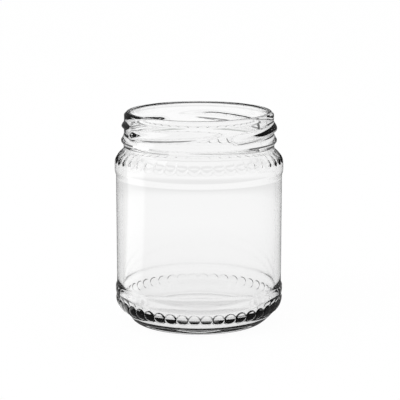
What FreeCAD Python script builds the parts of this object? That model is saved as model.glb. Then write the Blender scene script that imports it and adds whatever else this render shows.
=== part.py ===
import FreeCAD, Part
import math
import os
import Sketcher

# Empty honey jar of clear pressed glass with a 63 mm four-start lug finish, one solid.
# Millimetres, +Z up, origin at the centre of the ring that the jar stands on, front towards -Y.

sizes = {
    # whole jar
    "jarHeight": 84.7,
    "bodyDia": 67.4,
    "facing": 5.1,            # turn of the whole jar about its axis, degrees
    "seamTurn": 2.3,          # the section plane's turn, so that the seam misses print centres
    # foot, heel and base
    "footInset": 5.6,         # the foot edge stands this far inside the body radius
    "footHeight": 1.2,
    "standInset": 1.5,        # the standing ring's outer edge, inside the foot edge
    "standWidth": 3.2,
    "pushUp": 0.5,            # height of the hollow under the base
    "pushRun": 7.5,           # radial run of the slope up into that hollow
    "heelSlope": 46.7,        # degrees from the vertical
    "heelRadius": 7.35,
    "baseThick": 4.2,
    "floorCrown": 0.5,
    "floorRound": 9.0,
    # side wall with the recessed label panel
    "wall": 2.4,
    "lowerBandTop": 14.0,
    "upperBandHeight": 2.6,
    "panelDepth": 0.5,
    "stepHeight": 1.8,
    # shoulder
    "shoulderSlope": 47.0,    # degrees from the vertical
    "shoulderRadius": 6.0,
    "innerDrop": 1.0,         # the bore ends this much below the level of the outside groove
    # finish for the lug closure
    "neckDia": 59.9,
    "rimDia": 58.4,
    "boreDia": 54.6,
    "rimRound": 1.1,
    "lipBevel": 0.5,
    "grooveDia": 58.8,
    "grooveDrop": 14.3,       # below the rim
    "beadDia": 62.5,
    "beadDrop": 11.6,
    "beadHalf": 0.7,          # half the height of the bead's flat before rounding
    "beadFlank": 1.9,
    "beadRound": 1.15,
    # lugs
    "lugCount": 4,
    "lugStart": -157.1,       # angle of the low end of the first lug, before facing
    "lugTurn": 89.0,
    "lugDrop": 8.4,           # low end, below the rim
    "lugRise": 3.2,
    "lugReach": 1.45,
    "lugHalf": 2.15,
    "lugCrest": 0.6,          # half the height of the flat crest
    "lugRoot": 0.5,
    # ring of round prints on the heel and of long prints on the shoulder
    "cellCount": 44,
    "cellDepth": 0.38,
    "cellRadius": 14.0,
    "cellTilt": 15.0,
    "cellLength": 9.0,
    "fluteDepth": 0.4,
    "fluteRadius": 12.0,
    "fluteTilt": 37.0,
    "fluteBelow": 4.0,
    "fluteAbove": 3.6,
}

document = FreeCAD.newDocument("HoneyJar")
sheet = document.addObject("Spreadsheet::Sheet", "dims")
for row, (name, value) in enumerate(sizes.items(), 1):
    sheet.set(f"A{row}", name)
    sheet.set(f"B{row}", str(value))
    sheet.setAlias(f"B{row}", name)
document.recompute()


def d(name):
    return "dims." + name


# Places that several features share, as expressions of the sheet's sizes.
body_r = f"({d('bodyDia')} / 2)"
panel_r = f"({body_r} - {d('panelDepth')})"
inner_r = f"({panel_r} - {d('wall')})"
neck_r = f"({d('neckDia')} / 2)"
bore_r = f"({d('boreDia')} / 2)"
groove_r = f"({d('grooveDia')} / 2)"
bead_r = f"({d('beadDia')} / 2)"
foot_r = f"({body_r} - {d('footInset')})"
stand_r = f"({foot_r} - {d('standInset')})"
stand_in_r = f"({stand_r} - {d('standWidth')})"
groove_z = f"({d('jarHeight')} - {d('grooveDrop')})"
bead_z = f"({d('jarHeight')} - {d('beadDrop')})"
slope = f"({d('shoulderSlope')} * 1 deg)"
corner_z = f"({groove_z} - ({body_r} - {groove_r}) / tan({slope}))"
shoulder_low_z = f"({corner_z} - {d('shoulderRadius')} * tan({slope} / 2))"
upper_band_z = f"({shoulder_low_z} - {d('upperBandHeight')})"
panel_top_z = f"({upper_band_z} - {d('stepHeight')})"
panel_low_z = f"({d('lowerBandTop')} + {d('stepHeight')})"
floor_z = f"({d('pushUp')} + {d('baseThick')} - {d('floorCrown')})"
heel_slope = f"({d('heelSlope')} * 1 deg)"
heel_z = f"({d('footHeight')} + {d('footInset')} / tan({heel_slope}))"
heel_cz = f"({heel_z} + {d('heelRadius')} * tan({heel_slope} / 2))"
heel_cr = f"({body_r} - {d('heelRadius')})"
inner_top_z = f"({groove_z} - {d('innerDrop')})"
inner_low_z = f"({inner_top_z} - ({inner_r} - {bore_r}) / tan({slope}) * 1.5)"


def origin_item(body, role):
    return next(f for f in body.Origin.OriginFeatures if f.Role == role)


def add_sketch(body, name, turn=None):
    sketch = body.newObject("Sketcher::SketchObject", name)
    sketch.AttachmentSupport = [(origin_item(body, "XZ_Plane"), "")]
    sketch.MapMode = "FlatFace"
    if turn:
        sketch.AttachmentOffset = FreeCAD.Placement(
            FreeCAD.Vector(), FreeCAD.Rotation(FreeCAD.Vector(0, 1, 0), 0))
        sketch.setExpression("AttachmentOffset.Rotation.Angle", turn)
    return sketch


def number(sketch, text):
    value = sketch.evalExpression(text)
    return float(getattr(value, "Value", value))


def bind(sketch, constraint, label, text):
    index = sketch.addConstraint(constraint)
    sketch.renameConstraint(index, label)
    sketch.setExpression(f"Constraints.{label}", text)


def fix_point(sketch, geo, pos, label, x_text, z_text):
    x, z = number(sketch, x_text), number(sketch, z_text)
    if x_text == "0":
        sketch.addConstraint(Sketcher.Constraint("PointOnObject", geo, pos, -2))
    else:
        bind(sketch, Sketcher.Constraint("DistanceX", -1, 1, geo, pos, x), label + "X", x_text)
    if z_text == "0":
        sketch.addConstraint(Sketcher.Constraint("PointOnObject", geo, pos, -1))
    else:
        bind(sketch, Sketcher.Constraint("DistanceY", -1, 1, geo, pos, z), label + "Z", z_text)


def rounded_outline(sketch, corners):
    """Closed outline through named corners, each (label, x, z, radius or None).

    A corner with a radius is rounded by an arc tangent to both its lines; the corner itself
    stays as a construction point on both lines, so its place is still the one that was given.
    """
    count = len(corners)
    at = [FreeCAD.Vector(number(sketch, c[1]), number(sketch, c[2]), 0) for c in corners]
    start, end, arcs = {}, {}, {}
    for i, (label, _, _, radius) in enumerate(corners):
        back = (at[i - 1] - at[i]).normalize()
        ahead = (at[(i + 1) % count] - at[i]).normalize()
        if radius is None:
            end[(i - 1) % count] = start[i] = at[i]
            continue
        size = number(sketch, radius)
        half = back.getAngle(ahead) / 2
        reach = size / math.tan(half)
        centre = at[i] + (back + ahead).normalize() * (size / math.sin(half))
        end[(i - 1) % count] = at[i] + back * reach
        start[i] = at[i] + ahead * reach
        arcs[i] = (centre, size, end[(i - 1) % count], start[i])
    lines = [sketch.addGeometry(Part.LineSegment(start[i], end[i]), False) for i in range(count)]
    for i, (label, x_text, z_text, radius) in enumerate(corners):
        before, after = lines[i - 1], lines[i]
        if i not in arcs:
            sketch.addConstraint(Sketcher.Constraint("Coincident", before, 2, after, 1))
            fix_point(sketch, after, 1, label, x_text, z_text)
            continue
        centre, size, first, last = arcs[i]
        a = math.atan2(first.y - centre.y, first.x - centre.x)
        b = math.atan2(last.y - centre.y, last.x - centre.x)
        left = (first - centre).cross(last - centre).z > 0
        circle = Part.Circle(centre, FreeCAD.Vector(0, 0, 1), size)
        arc = sketch.addGeometry(Part.ArcOfCircle(circle, *((a, b) if left else (b, a))), False)
        sketch.addConstraint(Sketcher.Constraint("Tangent", before, 2, arc, 1 if left else 2))
        sketch.addConstraint(Sketcher.Constraint("Tangent", arc, 2 if left else 1, after, 1))
        bind(sketch, Sketcher.Constraint("Radius", arc, size), label + "Round", radius)
        point = sketch.addGeometry(Part.Point(at[i]), True)
        sketch.addConstraint(Sketcher.Constraint("PointOnObject", point, 1, before))
        sketch.addConstraint(Sketcher.Constraint("PointOnObject", point, 1, after))
        fix_point(sketch, point, 1, label, x_text, z_text)


def polar(body, name, feature, count_text):
    pattern = body.newObject("PartDesign::PolarPattern", name)
    pattern.Originals = [feature]
    pattern.Axis = (origin_item(body, "Z_Axis"), [""])
    pattern.Angle = 360
    pattern.Occurrences = 2
    pattern.setExpression("Occurrences", count_text)
    body.Tip = pattern
    document.recompute()
    return pattern


jar = document.addObject("PartDesign::Body", "Jar")
jar.Label = "glass_jar"

# The jar's wall in section: foot, heel, side, shoulder, finish, then back down the inside.
section = add_sketch(jar, "wallSection", f"{d('seamTurn')} * 1 deg")
rounded_outline(section, [
    ("axisLow", "0", d("pushUp"), None),
    ("push", f"{stand_in_r} - {d('pushRun')}", d("pushUp"), None),
    ("standIn", stand_in_r, "0", None),
    ("standOut", stand_r, "0", None),
    ("foot", foot_r, d("footHeight"), None),
    ("heel", body_r, heel_z, d("heelRadius")),
    ("lowerBand", body_r, d("lowerBandTop"), None),
    ("panelLow", panel_r, panel_low_z, None),
    ("panelTop", panel_r, panel_top_z, None),
    ("upperBand", body_r, upper_band_z, None),
    ("shoulder", body_r, corner_z, d("shoulderRadius")),
    ("groove", groove_r, groove_z, None),
    ("beadLow", bead_r, f"{bead_z} - {d('beadHalf')}", d("beadRound")),
    ("beadTop", bead_r, f"{bead_z} + {d('beadHalf')}", d("beadRound")),
    ("neck", neck_r, f"{bead_z} + {d('beadHalf')} + {d('beadFlank')}", None),
    ("rim", d("rimDia") + " / 2", d("jarHeight"), d("rimRound")),
    ("lipTop", f"{bore_r} + {d('lipBevel')}", d("jarHeight"), None),
    ("lipLow", bore_r, f"{d('jarHeight')} - {d('lipBevel')}", None),
    ("boreLow", bore_r, inner_top_z, None),
    ("insideTop", inner_r, inner_low_z, None),
    ("insideLow", inner_r, floor_z, d("floorRound")),
    ("axisTop", "0", f"{floor_z} + {d('floorCrown')}", None),
])
wall = jar.newObject("PartDesign::Revolution", "wallTurned")
wall.Profile = section
wall.ReferenceAxis = (section, ["V_Axis"])
wall.Angle = 360
document.recompute()


def lug_section(body, index, share, swell_share):
    """One section across a lug, at a share of its turn; it sinks into the neck at both ends."""
    turn = f"({d('lugStart')} + {share} * {d('lugTurn')}) * 1 deg"
    sketch = add_sketch(body, f"lugSection{index}", turn)
    mid_z = f"({d('jarHeight')} - {d('lugDrop')} + {share} * {d('lugRise')})"
    root_r = f"({neck_r} - {d('lugRoot')} - {0.35 * (1 - swell_share):.3f})"
    crest_r = f"({neck_r} + {d('lugReach')} * {swell_share} - {0.2 * (1 - swell_share):.3f})"
    crest = f"({d('lugCrest')} * {0.4 + 0.6 * swell_share:.3f})"
    half = f"({d('lugHalf')} * {0.4 + 0.6 * swell_share:.3f})"
    corners = [("rootUp", root_r, f"{mid_z} + {half}"), ("rootDown", root_r, f"{mid_z} - {half}"),
               ("crestDown", crest_r, f"{mid_z} - {crest}"), ("crestUp", crest_r, f"{mid_z} + {crest}")]
    at = [FreeCAD.Vector(number(sketch, x), number(sketch, z), 0) for _, x, z in corners]
    sides = [sketch.addGeometry(Part.LineSegment(at[i], at[(i + 1) % 4]), False) for i in range(4)]
    for i, corner in enumerate(corners):
        sketch.addConstraint(Sketcher.Constraint("Coincident", sides[i - 1], 2, sides[i], 1))
        fix_point(sketch, sides[i], 1, *corner)
    return sketch


# A lug is full and blunt at its low end and fades out at its high end.
stations = [(0.0, 0.0), (0.035, 0.7), (0.09, 1.0), (0.22, 1.0), (0.4, 1.0),
            (0.58, 0.95), (0.75, 0.75), (0.88, 0.42), (1.0, 0.0)]
sections = [lug_section(jar, i, *station) for i, station in enumerate(stations)]
document.recompute()
lug = jar.newObject("PartDesign::AdditiveLoft", "lug")
lug.Profile = sections[0]
lug.Sections = sections[1:]
document.recompute()
lugs = polar(jar, "lugs", lug, d("lugCount"))


def print_groove(body, name, at_r, at_z, tilt, radius_text, below, above):
    """A round bar laid along the wall from outside, whose inner side cuts one print."""
    sketch = add_sketch(body, name + "Bar")
    ends = [(f"({at_r} - {below} * sin({tilt}))", f"({at_z} - {below} * cos({tilt}))"),
            (f"({at_r} + {above} * sin({tilt}))", f"({at_z} + {above} * cos({tilt}))")]
    low, high = [FreeCAD.Vector(number(sketch, x), number(sketch, z), 0) for x, z in ends]
    size = number(sketch, radius_text)
    inward = FreeCAD.Vector(0, 0, 1).cross(high - low).normalize() * size
    ring = [low, high, high + inward, low + inward]
    sides = [sketch.addGeometry(Part.LineSegment(ring[i], ring[(i + 1) % 4]), False)
             for i in range(4)]
    for i in range(4):
        sketch.addConstraint(Sketcher.Constraint("Coincident", sides[i], 2, sides[(i + 1) % 4], 1))
    fix_point(sketch, sides[0], 1, "low", *ends[0])
    fix_point(sketch, sides[0], 2, "high", *ends[1])
    sketch.addConstraint(Sketcher.Constraint("Perpendicular", sides[0], sides[1]))
    sketch.addConstraint(Sketcher.Constraint("Perpendicular", sides[0], sides[3]))
    sketch.addConstraint(Sketcher.Constraint("Parallel", sides[0], sides[2]))
    bind(sketch, Sketcher.Constraint("Distance", sides[1], size), "barRadius", radius_text)
    document.recompute()
    groove = body.newObject("PartDesign::Groove", name)
    groove.Profile = sketch
    groove.ReferenceAxis = (sketch, ["Edge1"])
    groove.Angle = 360
    document.recompute()
    return groove


def offset_place(centre_r, centre_z, arc_radius, depth, bar, lean):
    """Where a bar's axis runs so that it bites this deep into an arc at this lean."""
    away = f"({arc_radius} - {depth} + {bar})"
    return f"({centre_r} + {away} * cos({lean}))", f"({centre_z} + {away} * sin({lean}))"


cell_tilt = f"({d('cellTilt')} * 1 deg)"
cell_r, cell_z = offset_place(heel_cr, heel_cz, d("heelRadius"), d("cellDepth"),
                              d("cellRadius"), f"(-{cell_tilt})")
half_cell = f"({d('cellLength')} / 2)"
before_cells = jar.Tip.Shape.Volume
cell = print_groove(jar, "cell", cell_r, cell_z, cell_tilt, d("cellRadius"), half_cell, half_cell)
cells = polar(jar, "cells", cell, d("cellCount"))

flute_tilt = f"({d('fluteTilt')} * 1 deg)"
flute_r, flute_z = offset_place(f"({body_r} - {d('shoulderRadius')})", shoulder_low_z,
                                d("shoulderRadius"), d("fluteDepth"), d("fluteRadius"), flute_tilt)
before_flutes = jar.Tip.Shape.Volume
flute = print_groove(jar, "flute", flute_r, flute_z, f"(-{flute_tilt})", d("fluteRadius"),
                     d("fluteBelow"), d("fluteAbove"))
flutes = polar(jar, "flutes", flute, d("cellCount"))

jar.Placement = FreeCAD.Placement(FreeCAD.Vector(), FreeCAD.Rotation(FreeCAD.Vector(0, 0, 1), 0))
jar.setExpression("Placement.Rotation.Angle", d("facing"))
document.recompute()

if not before_cells > before_flutes > jar.Tip.Shape.Volume:
    raise RuntimeError("a ring of prints cut nothing")
for item in document.Objects:
    if "Invalid" in item.State or "Error" in item.State:
        raise RuntimeError(f"{item.Name} failed: {item.State}")
for sketch in [o for o in document.Objects if o.TypeId == "Sketcher::SketchObject"]:
    if not sketch.FullyConstrained:
        raise RuntimeError(f"{sketch.Name} isn't fully constrained")

os.makedirs("parts", exist_ok=True)
for body in [o for o in document.Objects if o.TypeId == "PartDesign::Body"]:
    shape = body.Shape
    if shape.isNull() or not shape.isValid() or len(shape.Solids) != 1:
        raise RuntimeError(f"{body.Label} isn't one sound solid")
    shape.exportStep(f"parts/{body.Label}.step")
    box = shape.BoundBox
    print(f"{body.Label}: {shape.Volume / 1000:.2f} cm3, {len(shape.Faces)} faces,"
          f" {box.XLength:.2f} x {box.YLength:.2f} x {box.ZLength:.2f} mm")
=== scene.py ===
import math
import bpy
import numpy as np
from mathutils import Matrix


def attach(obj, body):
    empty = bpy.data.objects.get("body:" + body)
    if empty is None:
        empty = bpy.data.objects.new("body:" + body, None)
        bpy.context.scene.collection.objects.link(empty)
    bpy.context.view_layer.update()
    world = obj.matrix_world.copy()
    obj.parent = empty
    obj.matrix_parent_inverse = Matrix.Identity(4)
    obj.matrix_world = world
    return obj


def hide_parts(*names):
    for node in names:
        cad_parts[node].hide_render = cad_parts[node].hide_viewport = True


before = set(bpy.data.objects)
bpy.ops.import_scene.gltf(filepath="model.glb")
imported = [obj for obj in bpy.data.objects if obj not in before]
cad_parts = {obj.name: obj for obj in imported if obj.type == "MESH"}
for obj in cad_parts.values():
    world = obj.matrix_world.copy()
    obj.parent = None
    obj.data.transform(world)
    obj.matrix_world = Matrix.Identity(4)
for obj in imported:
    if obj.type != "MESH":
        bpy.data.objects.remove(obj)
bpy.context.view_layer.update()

print("frame loaded")

# Sizes are in millimetres and turned into metres as the mesh is made; turns are in degrees.
# A "...Round" is the radius of an arc, a "...Zone" a pair of heights (lowest, highest).
jar = {
    "height": 84.7, "bodyRadius": 33.7, "wall": 2.4,
    "panelDepth": 0.5,                                       # how far the label panel is set back
    "footInset": 5.6, "footHeight": 1.2, "footRound": 1.5,
    "standInset": 1.5, "standWidth": 10.0, "standRound": 1.2,   # the flat ring it stands on
    "pushUp": 0.3, "pushRun": 7.5, "pushRound": 6.0,         # the hollow under the base
    "heelSlope": 46.7, "heelRadius": 7.35,
    "baseThick": 4.1, "floorCrown": 0.5, "floorRound": 9.0,
    "lowerBandTop": 14.0, "lowBandRound": 0.35, "lowStepHeight": 1.3, "lowStepRound": 0.8,
    "upperBandHeight": 2.6, "bandRound": 0.7, "stepHeight": 1.8, "stepRound": 2.0,
    "shoulderSlope": 47.0, "shoulderRadius": 6.0,
    "innerDrop": 1.0, "innerRun": 1.5, "innerRound": 6.0,    # the flare inside the shoulder
    "neckRadius": 29.95, "rimRadius": 29.2, "boreRadius": 27.3,
    "rimRoundOut": 1.1, "rimRoundIn": 0.6,
    "grooveRadius": 29.4, "grooveDrop": 14.3, "grooveRound": 2.2,
    "beadRadius": 31.0, "beadDrop": 11.6, "beadHalf": 0.1, "beadFlank": 2.4, "beadRound": 1.8,
    # Four lugs climb round the neck; "above" and "below" are their widths up and down.
    "lug": {
        "count": 4, "start": -155.0, "turn": 89.0, "drop": 8.7, "rise": 3.5, "reach": 1.45,
        "above": 2.9, "below": 1.75, "leastWidth": 0.2, "square": 0.8, "soft": 0.15,
        "swellShare": 0.09, "fadeShare": 0.45,
    },
    # Raised pads round the heel: a negative depth stands out, and the wall between the pads
    # is sunk from "sinkFoot" up to "sinkTop", easing in and out over the two runs.
    "facing": 5.1,                                           # turn of the first pad and flute
    "pads": {
        "count": 44, "centreZ": 7.4, "radius": 2.36, "length": 0.0,
        "depth": -0.25, "edge": 0.32, "dish": -0.08,
    },
    "sink": 0.33, "sinkFoot": 1.5, "sinkFootRun": 3.0, "sinkTop": 11.6, "sinkTopRun": 1.2,
    # Round-ended flutes pressed into the shoulder, which fade out upwards over "fluteFade".
    "flutes": {
        "count": 44, "centreZ": 67.0, "radius": 2.15, "length": 9.0,
        "depth": 0.5, "edge": 0.55, "dish": 0.1,
    },
    "fluteFade": 4.0,
    "seamZ": 8.2, "seamHigh": 0.05, "seamHalf": 0.22,        # the mould's seam round the heel
    # How fine the mesh is: points in a plain ring and how many times more in the two print
    # zones, and the spacing of rings in each zone.
    "columns": 352, "heelTimes": 3, "shoulderTimes": 2,
    "heelZone": (4.2, 10.4), "heelStep": 0.29,
    "shoulderZone": (63.5, 70.6), "shoulderStep": 0.45,
    "finishZone": (74.0, 82.0), "finishStep": 0.45,
    "lugZone": (72.0, 84.0),
    "plainStep": 1.9, "bendRows": 2.3, "outlineStep": 0.04,
}


# True where z lies between a zone's two heights.
def within(z, zone):
    return (z > zone[0]) & (z < zone[1])


# Straight sides between corners (r, z, radius), each corner turned by an arc that is tangent
# to its two sides: it starts radius / tan(half the corner's angle) from the corner, and its
# middle is radius / sin(half the angle) away. The line is then cut into even steps.
def roundedOutline(corners, step):
    at = np.array([c[:2] for c in corners], float)
    ahead = at[1:] - at[:-1]
    ahead /= np.linalg.norm(ahead, axis=1)[:, None]
    pieces = [at[:1]]
    for i in range(1, len(corners) - 1):
        back, front, radius = -ahead[i - 1], ahead[i], corners[i][2]
        half = math.acos(float(np.clip(back @ front, -1, 1))) / 2
        first = at[i] + back * radius / math.tan(half)
        last = at[i] + front * radius / math.tan(half)
        middle = at[i] + (back + front) / np.linalg.norm(back + front) * radius / math.sin(half)
        a = math.atan2(*(first - middle)[::-1])
        sweep = math.atan2(*(last - middle)[::-1]) - a
        sweep = (sweep + math.pi) % (2 * math.pi) - math.pi
        angle = a + sweep * np.linspace(0, 1, max(3, int(abs(sweep) * radius / step)))
        pieces.append(middle + radius * np.stack([np.cos(angle), np.sin(angle)], 1))
    pieces.append(at[-1:])
    line = np.concatenate(pieces)
    length = np.append(0, np.cumsum(np.linalg.norm(np.diff(line, axis=0), axis=1)))
    even = np.linspace(0, length[-1], int(length[-1] / step))
    return np.stack([np.interp(even, length, line[:, k]) for k in (0, 1)], 1)


# The wall's section from the middle of the underside, out and up over the rim, and down the
# inside to the middle of the floor. Heights above the body follow from the shoulder's slope.
def jarOutline(s):
    panel = s["bodyRadius"] - s["panelDepth"]
    inner = panel - s["wall"]
    foot = s["bodyRadius"] - s["footInset"]
    stand = foot - s["standInset"]
    groove, bead = s["height"] - s["grooveDrop"], s["height"] - s["beadDrop"]
    slope = math.tan(math.radians(s["shoulderSlope"]))
    corner = groove - (s["bodyRadius"] - s["grooveRadius"]) / slope
    low = corner - s["shoulderRadius"] * math.tan(math.radians(s["shoulderSlope"]) / 2)
    bandLow = low - s["upperBandHeight"]
    heel = s["footHeight"] + s["footInset"] / math.tan(math.radians(s["heelSlope"]))
    floor = s["pushUp"] + s["baseThick"] - s["floorCrown"]
    innerTop = groove - s["innerDrop"]
    innerLow = innerTop - (inner - s["boreRadius"]) / slope * s["innerRun"]
    return roundedOutline([
        (0, s["pushUp"], 0),
        (stand - s["standWidth"] - s["pushRun"], s["pushUp"], s["pushRound"]),
        (stand - s["standWidth"], 0, s["standRound"] / 2),
        (stand, 0, s["standRound"]),
        (foot, s["footHeight"], s["footRound"]),
        (s["bodyRadius"], heel, s["heelRadius"]),
        (s["bodyRadius"], s["lowerBandTop"], s["lowBandRound"]),
        (panel, s["lowerBandTop"] + s["lowStepHeight"], s["lowStepRound"]),
        (panel, bandLow - s["stepHeight"], s["stepRound"]),
        (s["bodyRadius"], bandLow, s["bandRound"]),
        (s["bodyRadius"], corner, s["shoulderRadius"]),
        (s["grooveRadius"], groove, s["grooveRound"]),
        (s["beadRadius"], bead - s["beadHalf"], s["beadRound"]),
        (s["beadRadius"], bead + s["beadHalf"], s["beadRound"]),
        (s["neckRadius"], bead + s["beadHalf"] + s["beadFlank"], s["grooveRound"]),
        (s["rimRadius"], s["height"], s["rimRoundOut"]),
        (s["boreRadius"], s["height"], s["rimRoundIn"]),
        (s["boreRadius"], innerTop, s["innerRound"]),
        (inner, innerLow, s["innerRound"]),
        (inner, floor, s["floorRound"]),
        (0, floor + s["floorCrown"], 0)], s["outlineStep"])


# Where the rings stand along the section. A short step of it counts for its length over
# "plainStep" plus its bend times "bendRows". Outside, in the heel and shoulder zones, it counts
# for its length over that zone's step instead, and the finish zone adds its own. The rings
# share out the sum evenly. Gives each ring's radius, height, way along, and if it is outside.
def ringPlaces(line, s):
    step = np.diff(line, axis=0)
    size = np.linalg.norm(step, axis=1)
    bend = np.abs(np.gradient(np.unwrap(np.arctan2(step[:, 1], step[:, 0]))))
    rimAt = int(np.argmax(line[:, 1]))
    outside = np.arange(len(step)) < rimAt
    z = line[1:, 1]
    crowd = size / s["plainStep"] + bend * s["bendRows"]
    crowd = np.where(outside & within(z, s["heelZone"]), size / s["heelStep"], crowd)
    crowd = np.where(outside & within(z, s["shoulderZone"]), size / s["shoulderStep"], crowd)
    crowd += outside * within(z, s["finishZone"]) * size / s["finishStep"]
    total = np.append(0, np.cumsum(crowd))
    share = np.linspace(0, total[-1], int(total[-1]) + 2)[1:-1]
    number = np.arange(len(line))
    rows = np.interp(share, total, number)
    length = np.append(0, np.cumsum(size))
    radius, height, along = (np.interp(rows, number, v) for v in (line[:, 0], line[:, 1], length))
    return radius, height, along, rows < rimAt


# The lesser of a and b, less a parabola a quarter of "soft" deep where they cross.
def softLess(a, b, soft):
    meet = np.maximum(soft - np.abs(a - b), 0) / soft
    return np.minimum(a, b) - meet * meet * soft / 4


# 0 below 0, 1 above 1, and 3 x squared less 2 x cubed between.
def stepUp(x):
    x = np.clip(x, 0, 1)
    return x * x * (3 - 2 * x)


# Depth of a row of round-ended prints: each is a flat-bottomed recess round a line that runs
# up the wall, with a steep edge and a floor that deepens by "dish" to its middle.
def printDepth(across, along, p):
    away = np.hypot(across, along - np.clip(along, 0, p["length"]))
    recess = p["depth"] * stepUp((p["radius"] - away) / p["edge"] + 0.5)
    return recess + p["dish"] * np.clip(1 - (away / p["radius"])**2, 0, 1)


# Turn from the middle of the nearest of "count" even prints.
def nearestPrint(turn, count):
    pitch = 2 * math.pi / count
    return (turn + pitch / 2) % pitch - pitch / 2


# Wall radius with the lugs: each is a bell across, centred on a line that climbs evenly with
# the turn; it swells as a quarter ellipse at its low end and fades at its high end.
def lugRing(z, turn, r, s, g):
    share = (turn - math.radians(g["start"])) % (2 * math.pi / g["count"])
    share = share / math.radians(g["turn"])
    swell = np.sqrt(np.clip(1 - (1 - np.clip(share / g["swellShare"], 0, 1))**2, 0, 1))
    swell = swell * stepUp((1 - share) / g["fadeShare"])
    middle = s["height"] - g["drop"] + g["rise"] * share
    across = (z - middle) / np.where(z > middle, g["above"], g["below"])
    narrow = np.maximum(np.sqrt(swell), g["leastWidth"])
    bell = 0.5 + 0.5 * np.cos(math.pi * np.clip(across / narrow, -1, 1))
    raised = s["neckRadius"] - g["soft"] + (g["reach"] + g["soft"]) * swell * bell**g["square"]
    return -softLess(-r, -raised, g["soft"])


# Rings joined into one closed mesh. A face takes one side of the ring with fewer points and
# as many sides of the next as match it, and a fan closes each end at its pole.
def closedMesh(name, rings, low, high):
    first = np.append(0, np.cumsum([len(r) for r in rings]))
    faces = []
    for k in range(len(rings) - 1):
        fewer, more = sorted((k, k + 1), key=lambda i: len(rings[i]))
        n, ratio = len(rings[fewer]), len(rings[more]) // len(rings[fewer])
        j = np.arange(n)
        short = first[fewer] + np.stack([j, (j + 1) % n], 1)
        long = first[more] + (j[:, None] * ratio + np.arange(ratio + 1)) % (n * ratio)
        face = np.concatenate([short, long[:, ::-1]], 1)
        faces.append(face if fewer == k else face[:, ::-1])      # both ways face outwards
    for ring, pole in ((0, first[-1]), (len(rings) - 1, first[-1] + 1)):
        j = np.arange(len(rings[ring]))
        fan = np.stack([first[ring] + j, first[ring] + (j + 1) % len(j), 0 * j + pole], 1)
        faces.append(fan if ring else fan[:, ::-1])
    points = np.concatenate(list(rings) + [[low, high]]) / 1000      # to metres
    mesh = bpy.data.meshes.new(name)
    mesh.vertices.add(len(points))
    mesh.vertices.foreach_set("co", points.ravel())
    corners = np.concatenate([f.ravel() for f in faces])
    sizes = np.concatenate([np.full(len(f), f.shape[1]) for f in faces])
    mesh.loops.add(len(corners))
    mesh.loops.foreach_set("vertex_index", corners)
    mesh.polygons.add(len(sizes))
    mesh.polygons.foreach_set("loop_start", np.append(0, np.cumsum(sizes)[:-1]))
    mesh.update(calc_edges=True)
    mesh.validate()
    mesh.shade_smooth()
    piece = bpy.data.objects.new(name, mesh)
    bpy.context.scene.collection.objects.link(piece)
    print("triangles", int((sizes - 2).sum()))
    return piece


# The section turned round the upright axis: a ring's points are radius times the cosine and
# sine of the turn, at its height. Outside, the radius loses the heel's sink and the depth of
# the prints, and takes on the seam and the lugs. Prints are placed by the way along the wall.
def makeJar(s):
    line = jarOutline(s)
    pads, flutes = s["pads"], s["flutes"]
    radii, heights, alongs, outers = ringPlaces(line, s)
    low = outers & (heights < s["height"] / 2)
    high = outers & (heights > s["height"] / 2)
    padsAt = np.interp(pads["centreZ"], heights[low], alongs[low])
    flutesAt = np.interp(flutes["centreZ"], heights[high], alongs[high])
    rings = []
    for r, z, along, outer in zip(radii, heights, alongs, outers):
        heel = outer and within(z, s["heelZone"])
        shoulder = outer and within(z, s["shoulderZone"])
        n = s["columns"] * (s["heelTimes"] if heel else s["shoulderTimes"] if shoulder else 1)
        turn = np.arange(n) * 2 * math.pi / n
        radius = r + 0 * turn
        if outer:
            radius = radius - s["sink"] * (stepUp((s["sinkTop"] - z) / s["sinkTopRun"])
                                           * stepUp((z - s["sinkFoot"]) / s["sinkFootRun"]))
        if heel:
            across = nearestPrint(turn - math.radians(s["facing"]), pads["count"]) * r
            radius = radius - printDepth(across, along - padsAt, pads)
            seam = np.clip(1 - abs(z - s["seamZ"]) / s["seamHalf"], 0, 1)
            radius = radius + s["seamHigh"] * seam
        if shoulder:
            across = nearestPrint(turn - math.radians(s["facing"]), flutes["count"]) * r
            fade = stepUp((s["shoulderZone"][1] - z) / s["fluteFade"])
            radius = radius - printDepth(across, along - flutesAt, flutes) * fade
        if outer and within(z, s["lugZone"]):
            radius = lugRing(z, turn, radius, s, s["lug"])
        rings.append(np.stack([radius * np.cos(turn), radius * np.sin(turn), z + 0 * turn], 1))
    print("rings", len(rings))
    return closedMesh("glassJarSmooth", rings, [0, 0, line[0, 1]], [0, 0, line[-1, 1]])


glassPiece = makeJar(jar)
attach(glassPiece, "root")
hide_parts("glass_jar")
print("jar made,", len(glassPiece.data.polygons), "faces")

# Clear glass, a trace greener in its depth, with a slow waviness in its surface.
glassLook = {
    "tint": (1, 1, 1, 1), "roughness": 0.0, "ior": 1.51, "transmission": 1.0,
    "absorb": (0.84, 0.85, 0.84, 1), "density": 6.0,         # per metre of glass
    "waveScale": 60.0, "waveDetail": 1.0, "waveStrength": 0.4, "waveHeight": 0.00002,
}


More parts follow.
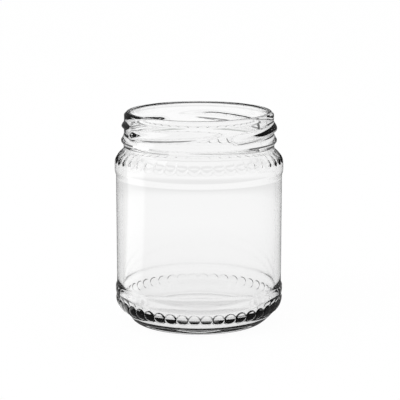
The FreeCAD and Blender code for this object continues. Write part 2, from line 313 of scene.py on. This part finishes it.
# A Principled shader that lets all light through, bumped by noise on Object coordinates, with
# absorption inside that grows with the light's way through the glass.
def glassMaterial(look):
    material = bpy.data.materials.new("clearFlintGlass")
    material.use_nodes = True
    nodes, links = material.node_tree.nodes, material.node_tree.links
    shader = nodes["Principled BSDF"]
    shader.inputs["Base Color"].default_value = look["tint"]
    shader.inputs["Roughness"].default_value = look["roughness"]
    shader.inputs["IOR"].default_value = look["ior"]
    shader.inputs["Transmission Weight"].default_value = look["transmission"]
    place = nodes.new("ShaderNodeTexCoord")
    wave = nodes.new("ShaderNodeTexNoise")
    wave.inputs["Scale"].default_value = look["waveScale"]
    wave.inputs["Detail"].default_value = look["waveDetail"]
    bump = nodes.new("ShaderNodeBump")
    bump.inputs["Strength"].default_value = look["waveStrength"]
    bump.inputs["Distance"].default_value = look["waveHeight"]
    links.new(place.outputs["Object"], wave.inputs["Vector"])
    links.new(wave.outputs["Fac"], bump.inputs["Height"])
    links.new(bump.outputs["Normal"], shader.inputs["Normal"])
    volume = nodes.new("ShaderNodeVolumeAbsorption")
    volume.inputs["Color"].default_value = look["absorb"]
    volume.inputs["Density"].default_value = look["density"]
    links.new(volume.outputs["Volume"], nodes["Material Output"].inputs["Volume"])
    return material


glassPiece.data.materials.append(glassMaterial(glassLook))
print("glass made")

# Levels are brightnesses: 1 is white. The stops are what shows through the glass, "mirrored"
# what shows in it, "scattered" what lights matte things. Stops are (place, level) pairs: for
# the floor the place is a share of "floorReach" from the jar, in metres, and for the sky it is
# the height of the direction, 0 level and 1 overhead.
studio = {
    "floorSize": 6.0, "floorDrop": 0.0003, "matteShare": 0.04, "matteColour": (0.9, 0.9, 0.9, 1),
    "floorReach": 0.5,
    # Painted shade seen through the glass: a painted shadow of the jar near it, then a painted
    # dark ring about 0.29 to 0.38 m out.
    "floorShadeStops": ((0.096, 0.90), (0.192, 0.94), (0.28, 0.95), (0.36, 0.972),
                   (0.51, 0.972), (0.586, 0.845), (0.76, 0.85), (0.87, 0.98)),
    "skyStops": ((0.30, 0.976), (0.37, 0.18), (0.50, 0.18), (0.58, 0.5), (0.72, 0.7),
                 (0.85, 1.0)),
    # Painted reflections: "mirrored" is a painted dim level seen only in the glass, which darkens
    # its edges, and the painted highlight is a bright patch on the left seen only in the glass,
    # in place of a soft light's reflection.
    "seen": 1.0, "scattered": 1.0, "mirrored": 0.12,
    "paintedHighlight": 1.5, "highlightTurn": 177.0, "highlightHalf": 17.0, "highlightSoft": 4.0,   # degrees
    "lampPower": 3.0, "lampSize": 0.5, "lampPlace": (-0.7, -0.5, 0.8),
}


# Level "low" where choose is 0 and "high" where it is 1; each is a number or a socket.
def mixLevel(nodes, links, choose, low, high):
    mix = nodes.new("ShaderNodeMix")
    mix.data_type = "FLOAT"
    links.new(choose, mix.inputs[0])
    for socket, value in ((mix.inputs[2], low), (mix.inputs[3], high)):
        if isinstance(value, float):
            socket.default_value = value
        else:
            links.new(value, socket)
    return mix.outputs[0]


# A level that runs straight from stop to stop as the value passes their places.
def stopsLevel(nodes, links, value, stops):
    ramp = nodes.new("ShaderNodeValToRGB")
    marks = ramp.color_ramp.elements
    for extra in range(len(stops) - 2):
        marks.new(0.5)
    for mark, (place, level) in zip(marks, stops):
        mark.position = place
        mark.color = (level, level, level, 1)
    links.new(value, ramp.inputs[0])
    return ramp.outputs[0]


# One Math node that works on a socket and a number or second socket.
def mathNode(nodes, links, operation, value, other):
    node = nodes.new("ShaderNodeMath")
    node.operation = operation
    links.new(value, node.inputs[0])
    if isinstance(other, float):
        node.inputs[1].default_value = other
    else:
        links.new(other, node.inputs[1])
    return node.outputs[0]


# The level a ray sees: white straight from the camera, a plain level for matte surfaces, the
# stops' level through glass, and in mirrored rays a painted dim reflection, which darkens the
# glass's edges, with a painted highlight on the left, in place of a soft light's reflection,
# which fades with the turn away from its middle.
def studioLevel(nodes, links, s, parts, through):
    path = nodes.new("ShaderNodeLightPath")
    turn = mathNode(nodes, links, "ARCTAN2", parts.outputs["Y"], parts.outputs["X"])
    shift = mathNode(nodes, links, "SUBTRACT", turn, math.radians(s["highlightTurn"]))
    away = mathNode(nodes, links, "PINGPONG", shift, math.pi)
    # The painted highlight: a bright patch round the given turn, and the painted dim level
    # elsewhere.
    highlightLevel = nodes.new("ShaderNodeMapRange")
    highlightLevel.interpolation_type = "SMOOTHSTEP"
    links.new(away, highlightLevel.inputs["Value"])
    highlightLevel.inputs["From Min"].default_value = math.radians(s["highlightHalf"] - s["highlightSoft"])
    highlightLevel.inputs["From Max"].default_value = math.radians(s["highlightHalf"] + s["highlightSoft"])
    highlightLevel.inputs["To Min"].default_value = s["paintedHighlight"]
    highlightLevel.inputs["To Max"].default_value = s["mirrored"]
    level = mixLevel(nodes, links, path.outputs["Is Transmission Ray"], highlightLevel.outputs[0], through)
    level = mixLevel(nodes, links, path.outputs["Is Diffuse Ray"], level, s["scattered"])
    return mixLevel(nodes, links, path.outputs["Is Camera Ray"], level, s["seen"])


# A square just under the jar, mostly glowing at the studio's level, with a small share of matte
# white that takes the jar's shadow.
# Through the glass its glow has painted shade, a painted shadow near the jar and a painted dark
# ring, and in the glass it shows painted reflections.
def stageFloor(s):
    edge, z = s["floorSize"] / 2, -s["floorDrop"]
    mesh = bpy.data.meshes.new("floorMesh")
    mesh.from_pydata([(-edge, -edge, z), (edge, -edge, z), (edge, edge, z), (-edge, edge, z)],
                     [], [(0, 1, 2, 3)])
    floor = bpy.data.objects.new("studioFloor", mesh)
    bpy.context.scene.collection.objects.link(floor)
    material = bpy.data.materials.new("paleFloor")
    material.use_nodes = True
    nodes, links = material.node_tree.nodes, material.node_tree.links
    matte = nodes["Principled BSDF"]
    matte.inputs["Base Color"].default_value = s["matteColour"]
    matte.inputs["Roughness"].default_value = 1.0
    matte.inputs["Specular IOR Level"].default_value = 0.0
    place = nodes.new("ShaderNodeTexCoord")
    parts = nodes.new("ShaderNodeSeparateXYZ")
    far = nodes.new("ShaderNodeVectorMath")
    far.operation = "LENGTH"
    glow = nodes.new("ShaderNodeEmission")
    mix = nodes.new("ShaderNodeMixShader")
    mix.inputs[0].default_value = s["matteShare"]
    links.new(place.outputs["Object"], parts.inputs[0])
    links.new(place.outputs["Object"], far.inputs[0])
    share = mathNode(nodes, links, "DIVIDE", far.outputs["Value"], s["floorReach"])
    # Through the glass the floor shows painted shade by distance from the jar: a painted shadow
    # near it and a painted dark ring further out.
    through = stopsLevel(nodes, links, share, s["floorShadeStops"])
    links.new(studioLevel(nodes, links, s, parts, through), glow.inputs["Strength"])
    links.new(glow.outputs[0], mix.inputs[1])
    links.new(matte.outputs[0], mix.inputs[2])
    links.new(mix.outputs[0], nodes["Material Output"].inputs["Surface"])
    mesh.materials.append(material)


# The sky all round, whose level through glass follows the height of the direction.
def studioWorld(s):
    world = bpy.data.worlds.new("paleStudio")
    bpy.context.scene.world = world
    world.use_nodes = True
    nodes, links = world.node_tree.nodes, world.node_tree.links
    background = nodes["Background"]
    background.inputs["Color"].default_value = (1, 1, 1, 1)
    place = nodes.new("ShaderNodeTexCoord")
    parts = nodes.new("ShaderNodeSeparateXYZ")
    links.new(place.outputs["Generated"], parts.inputs[0])
    through = stopsLevel(nodes, links, parts.outputs["Z"], s["skyStops"])
    links.new(studioLevel(nodes, links, s, parts, through), background.inputs["Strength"])


# A square lamp turned to face the jar: tilted by the angle between its line and straight
# down, then turned about the upright. On this set it lights only the floor's matte share.
def softLamp(s):
    data = bpy.data.lights.new("softLamp", "AREA")
    data.shape, data.size, data.energy = "SQUARE", s["lampSize"], s["lampPower"]
    lamp = bpy.data.objects.new("softLamp", data)
    lamp.location = s["lampPlace"]
    aim = -np.array(s["lampPlace"])
    lamp.rotation_euler = (math.atan2(math.hypot(aim[0], aim[1]), -aim[2]), 0,
                           math.atan2(-aim[0], aim[1]))
    lamp.visible_glossy = False
    lamp.visible_transmission = False
    bpy.context.scene.collection.objects.link(lamp)


view = {
    "sensor": 36.0, "lens": 138.15, "shift": 0.0025, "nearest": 0.01,
    "place": (0, -0.605, 0.17115), "tilt": -0.2,             # radians from level
}


# A camera in front of the jar that looks a little down.
def frontCamera(v):
    data = bpy.data.cameras.new("frontCamera")
    data.sensor_width = v["sensor"]
    data.lens = v["lens"]
    data.shift_x = v["shift"]
    data.clip_start = v["nearest"]
    camera = bpy.data.objects.new("frontCamera", data)
    camera.location = v["place"]
    camera.rotation_euler = (math.pi / 2 + v["tilt"], 0, 0)
    bpy.context.scene.collection.objects.link(camera)
    bpy.context.scene.camera = camera


stageFloor(studio)
studioWorld(studio)
softLamp(studio)
frontCamera(view)
bpy.context.scene.view_settings.view_transform = "Standard"
print("studio made")
